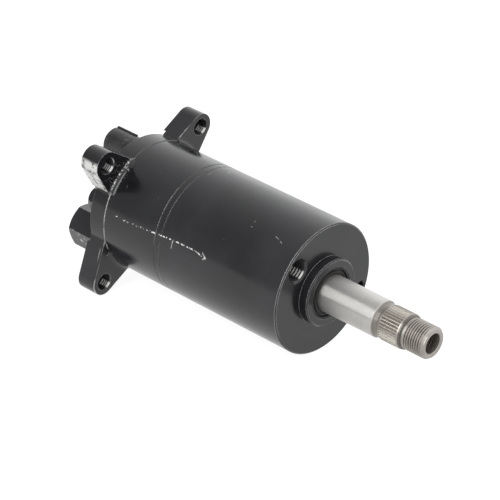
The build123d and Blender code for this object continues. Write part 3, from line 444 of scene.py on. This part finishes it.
def shaft_steel():
    """Ground steel up to the relief groove, and turned beyond it, with oil and painted shade darkening its
    roots, relief groove, neck and step corners.
    """
    ground_light, ground_dark = (0.45, 0.44, 0.425, 1.0), (0.33, 0.32, 0.305, 1.0)
    mark_grey, film_grey = (0.16, 0.15, 0.14, 1.0), (0.30, 0.28, 0.26, 1.0)
    crest_steel = (0.37, 0.35, 0.32, 1.0)
    thread_root_shade, serration_root_shade = (0.075, 0.060, 0.050, 1.0), (0.20, 0.175, 0.145, 1.0)
    grime_shade_brown, corner_shade_brown = (0.045, 0.038, 0.032, 1.0), (0.05, 0.042, 0.035, 1.0)
    serration_start, serration_end = SERRATION
    # radii from the root's painted shade to the bright crest
    thread_depth, serration_depth = (0.0086, 0.0093), (0.0095, 0.0103)

    t = Tree("shaft_steel", Metallic=1.0, Anisotropic=0.8, Anisotropic_Rotation=0.25)
    tangent = t.nodes.new("ShaderNodeTangent")
    tangent.direction_type = "RADIAL"
    tangent.axis = "X"
    t.connect(tangent.outputs["Tangent"], t.shader.inputs["Tangent"])
    x, _, _ = t.axes()
    radius, _ = t.around()
    cloud = t.noise(70.0, 4.0, 0.6, seed=22.0)
    rings = t.noise(1.0, 2.0, 0.5, stretch=(1500.0, 12.0, 12.0), seed=21.0)
    marks = t.ramp(t.noise(1.0, 2.0, 0.6, stretch=(420.0, 900.0, 900.0), seed=23.0), 0.68, 0.74)
    ground = t.mix(t.ramp(rings, 0.3, 0.7, 0.0, 0.35), ground_light, ground_dark)
    ground = t.mix(t.times(marks, 0.5), ground, mark_grey)

    # crests stay bright; the roots are darker, painted shade with some brown oil
    on_serration = t.span(x, serration_start, serration_end, 0.0003)
    crest = t.blend(on_serration, t.ramp(radius, *thread_depth), t.ramp(radius, *serration_depth))
    end_bore = t.times(t.ramp(x, END_BORE_FLOOR, END_BORE_FLOOR + 0.001), t.ramp(radius, 0.0048, 0.0054))
    crest = t.times(t.most(crest, end_bore), t.ramp(cloud, 0.30, 0.62, 1.0, 0.72))
    root = t.mix(on_serration, thread_root_shade, serration_root_shade)
    worked = t.mix(crest, root, crest_steel)

    # grime and painted shade in the relief groove, in the thread's neck, and down the end hole
    groove = t.span(x, GROUND_END + 0.0002, serration_start - 0.0010, 0.0005)
    neck = t.span(x, serration_end + 0.0006, serration_end + 0.0020, 0.0005)
    end_hole = t.times(t.ramp(radius, 0.0062, 0.0054), t.ramp(x, serration_end, serration_end + 0.001))
    grime_and_shade = t.most(t.times(groove, 0.45), t.times(neck, 0.75), t.times(end_hole, 0.9))
    worked = t.mix(t.times(grime_and_shade, t.ramp(cloud, 0.30, 0.62, 1.0, 0.75)), worked, grime_shade_brown)
    beyond = t.ramp(x, GROUND_END - 0.0004, GROUND_END)
    color = t.mix(beyond, ground, worked)
    color = t.mix(t.ramp(cloud, 0.50, 0.75, 0.0, 0.30), color, film_grey)

    # painted shade: dark corners at the steps on both sides of the serration
    steps = t.most(t.span(x, GROUND_END, serration_start - 0.0006, 0.0004),
                   t.span(x, serration_end + 0.0002, serration_end + 0.0022, 0.0004))
    corner_shade = t.times(steps, t.ramp(t.edge(0.0005), 0.02, 0.20), 0.75)
    color = t.mix(corner_shade, color, corner_shade_brown)
    rough = t.blend(beyond, t.ramp(rings, 0.3, 0.7, 0.30, 0.38), 0.40)
    return t.finish(color=color, roughness=rough,
                    normal=t.bump(rings, 0.000003, 1.0, t.soft_edge(0.0002)))


def turned_steel(name, color, rough, ring_scale, oil=0.4, groove=0.000012):
    """Ground or turned steel: fine rings about the shaft axis, cloudy oil film and small marks."""
    t = Tree(name, Metallic=1.0)
    rings = t.noise(1.0, 3.0, 0.6, stretch=(ring_scale, 30.0, 30.0), seed=21.0)
    cloud = t.noise(70.0, 4.0, 0.6, seed=22.0)
    marks = t.ramp(t.noise(900.0, 2.0, 0.6, seed=23.0), 0.66, 0.74)
    dark = tuple(c * (1.0 - 0.45 * oil) for c in color[:3]) + (1.0,)
    tone = t.mix(t.ramp(rings, 0.3, 0.7), color, dark)
    tone = t.mix(t.times(t.ramp(cloud, 0.5, 0.75), 0.5 * oil), tone, dark)
    tone = t.mix(t.times(marks, 0.3), tone, (0.12, 0.11, 0.10, 1.0))
    gloss = t.blend(t.ramp(cloud, 0.35, 0.7), rough, rough + 0.10)
    gloss = t.math("ADD", gloss, t.times(t.ramp(rings, 0.3, 0.7), 0.06))
    normal = t.bump(rings, groove, 1.0, t.soft_edge(0.0002))
    return t.finish(color=tone, roughness=gloss, normal=normal)


def nitrile():
    """Black rubber of the seals and rings."""
    t = Tree("nitrile", Specular_IOR_Level=0.20)
    grain = t.noise(900.0, 3.0, 0.6)
    cloud = t.noise(120.0, 3.0, 0.5, seed=4.0)
    color = t.mix(t.ramp(cloud, 0.35, 0.7), (0.010, 0.010, 0.010, 1.0), (0.028, 0.028, 0.027, 1.0))
    rough = t.blend(t.ramp(cloud, 0.3, 0.7), 0.42, 0.62)
    return t.finish(color=color, roughness=rough, normal=t.bump(grain, 0.00002))


def cap_plastic():
    """Moulded black plastic with fine dust."""
    t = Tree("cap_plastic", Specular_IOR_Level=0.4)
    grain = t.noise(1300.0, 2.0, 0.6)
    cloud = t.noise(150.0, 4.0, 0.6, seed=4.0)
    dust = t.ramp(t.noise(500.0, 3.0, 0.6, seed=6.0), 0.58, 0.72)
    color = t.mix(t.ramp(cloud, 0.35, 0.7), (0.008, 0.008, 0.009, 1.0), (0.020, 0.020, 0.021, 1.0))
    color = t.mix(t.times(dust, 0.15), color, DUST)
    rough = t.blend(t.ramp(cloud, 0.3, 0.7), 0.30, 0.45)
    return t.finish(color=color, roughness=rough, normal=t.bump(grain, 0.00003, 1.0, t.soft_edge(0.0003)))


def soft_metal(name, light, dark, rough, metallic=1.0, specular=0.5):
    """Plain or coated metal: cloudy tone, fine grain."""
    t = Tree(name, Metallic=metallic, Specular_IOR_Level=specular)
    cloud = t.noise(120.0, 4.0, 0.6, seed=31.0)
    grain = t.noise(1500.0, 2.0, 0.6, seed=32.0)
    color = t.mix(t.ramp(cloud, 0.3, 0.7), light, dark)
    gloss = t.blend(t.ramp(grain, 0.3, 0.7), rough, rough + 0.12)
    return t.finish(color=color, roughness=gloss, normal=t.bump(grain, 0.000012, 1.0, t.soft_edge(0.0002)))


slot_materials = {
    "black_paint": black_paint(),
    "plate_paint": plate_paint(),
    "fitting_paint": fitting_paint(),
    "screw_steel": soft_metal("oxide_screws", (0.05, 0.05, 0.052, 1.0), (0.02, 0.02, 0.021, 1.0), 0.32),
    "cap_plastic": cap_plastic(),
    "ground_steel": shaft_steel(),
    "rotor_steel": soft_metal("rotor_steel", (0.50, 0.50, 0.50, 1.0), (0.38, 0.38, 0.39, 1.0), 0.28),
    "machined_steel": turned_steel("turned_steel", (0.48, 0.47, 0.46, 1.0), 0.32, 2600.0),
    "hard_steel": soft_metal("hard_steel", (0.42, 0.42, 0.44, 1.0), (0.32, 0.32, 0.34, 1.0), 0.25),
    "bearing_steel": turned_steel("bearing_steel", (0.60, 0.60, 0.62, 1.0), 0.18, 5200.0, oil=0.2),
    "ball_steel": soft_metal("ball_steel", (0.72, 0.72, 0.74, 1.0), (0.64, 0.64, 0.66, 1.0), 0.06),
    "spring_steel": soft_metal("spring_steel", (0.10, 0.10, 0.12, 1.0), (0.06, 0.06, 0.08, 1.0), 0.30),
    "seal_steel": soft_metal("seal_case_paint", (0.016, 0.016, 0.017, 1.0), (0.008, 0.008, 0.009, 1.0),
                             0.30, metallic=0.0, specular=0.30),
    "ring_iron": soft_metal("ring_iron", (0.26, 0.26, 0.26, 1.0), (0.17, 0.17, 0.17, 1.0), 0.38),
    "bronze": soft_metal("bronze", (0.60, 0.38, 0.17, 1.0), (0.45, 0.28, 0.12, 1.0), 0.30),
    "cage_brass": soft_metal("cage_brass", (0.66, 0.48, 0.20, 1.0), (0.52, 0.37, 0.15, 1.0), 0.30),
    "nitrile": nitrile(),
}

for entry in frame["record"]["subparts"]:
    mesh = nodes[entry["node"]].data
    mesh.materials.clear()
    mesh.materials.append(slot_materials[entry["material_slot"]])


# ---- floor and light -------------------------------------------------------------------------------
FLOOR_SLOPE = 0.053          # the object stands on its two lower ears and the rim of its front face
FLOOR_Z = -0.0398            # its height under the origin
FLOOR_HALF = 3.0
FLOOR_GREY = (0.20, 0.20, 0.20, 1.0)
FLOOR_GLOW = 0.90
floor_data = bpy.data.meshes.new("floor")
floor_data.from_pydata([(x, y, FLOOR_Z + FLOOR_SLOPE * x) for x, y in
                        ((-FLOOR_HALF, -FLOOR_HALF), (FLOOR_HALF, -FLOOR_HALF),
                         (FLOOR_HALF, FLOOR_HALF), (-FLOOR_HALF, FLOOR_HALF))],
                       [], [(0, 1, 2, 3)])
floor = bpy.data.objects.new("floor", floor_data)
bpy.context.scene.collection.objects.link(floor)
# the floor is a light table: it glows, so the object throws hardly any shadow on it
floor_tree = Tree("floor_white", Roughness=0.9, Specular_IOR_Level=0.1, Emission_Strength=FLOOR_GLOW,
                  Emission_Color=(1.0, 1.0, 1.0, 1.0))
floor_data.materials.append(floor_tree.finish(color=FLOOR_GREY))


def softbox(name, aim, azimuth, elevation, distance, size, power):
    """Area light that looks at the aim from an azimuth and elevation in degrees."""
    a, e = math.radians(azimuth), math.radians(elevation)
    back = Vector((math.sin(a) * math.cos(e), -math.cos(a) * math.cos(e), math.sin(e)))
    data = bpy.data.lights.new(name, "AREA")
    data.shape = "RECTANGLE"
    data.size, data.size_y = size
    data.energy = power
    light = bpy.data.objects.new(name, data)
    light.location = Vector(aim) + back * distance
    light.rotation_mode = "QUATERNION"
    light.rotation_quaternion = back.to_track_quat("Z", "Y")
    bpy.context.scene.collection.objects.link(light)


# a pale tent, open and darker towards one side of it
TENT_BRIGHT = 1.65
TENT_DARK = 0.55
DARK_SIDE = Vector((-0.58, -0.74, 0.33)).normalized()
world = bpy.data.worlds.new("studio")
world.use_nodes = True
world_nodes, world_links = world.node_tree.nodes, world.node_tree.links
direction = world_nodes.new("ShaderNodeTexCoord").outputs["Generated"]
towards = world_nodes.new("ShaderNodeVectorMath")
towards.operation = "DOT_PRODUCT"
world_links.new(direction, towards.inputs[0])
towards.inputs[1].default_value = DARK_SIDE
shade = world_nodes.new("ShaderNodeMapRange")
shade.inputs["To Min"].default_value = TENT_BRIGHT
shade.inputs["To Max"].default_value = TENT_DARK
world_links.new(towards.outputs["Value"], shade.inputs["Value"])
world_nodes["Background"].inputs["Color"].default_value = (0.99, 0.995, 1.0, 1.0)
world_links.new(shade.outputs["Result"], world_nodes["Background"].inputs["Strength"])
bpy.context.scene.world = world

softbox("left_softbox", (0.0, 0.0, 0.0), azimuth=-3, elevation=34, distance=1.5,
        size=(0.60, 1.50), power=19.0)
bpy.context.scene.view_settings.view_transform = "Standard"
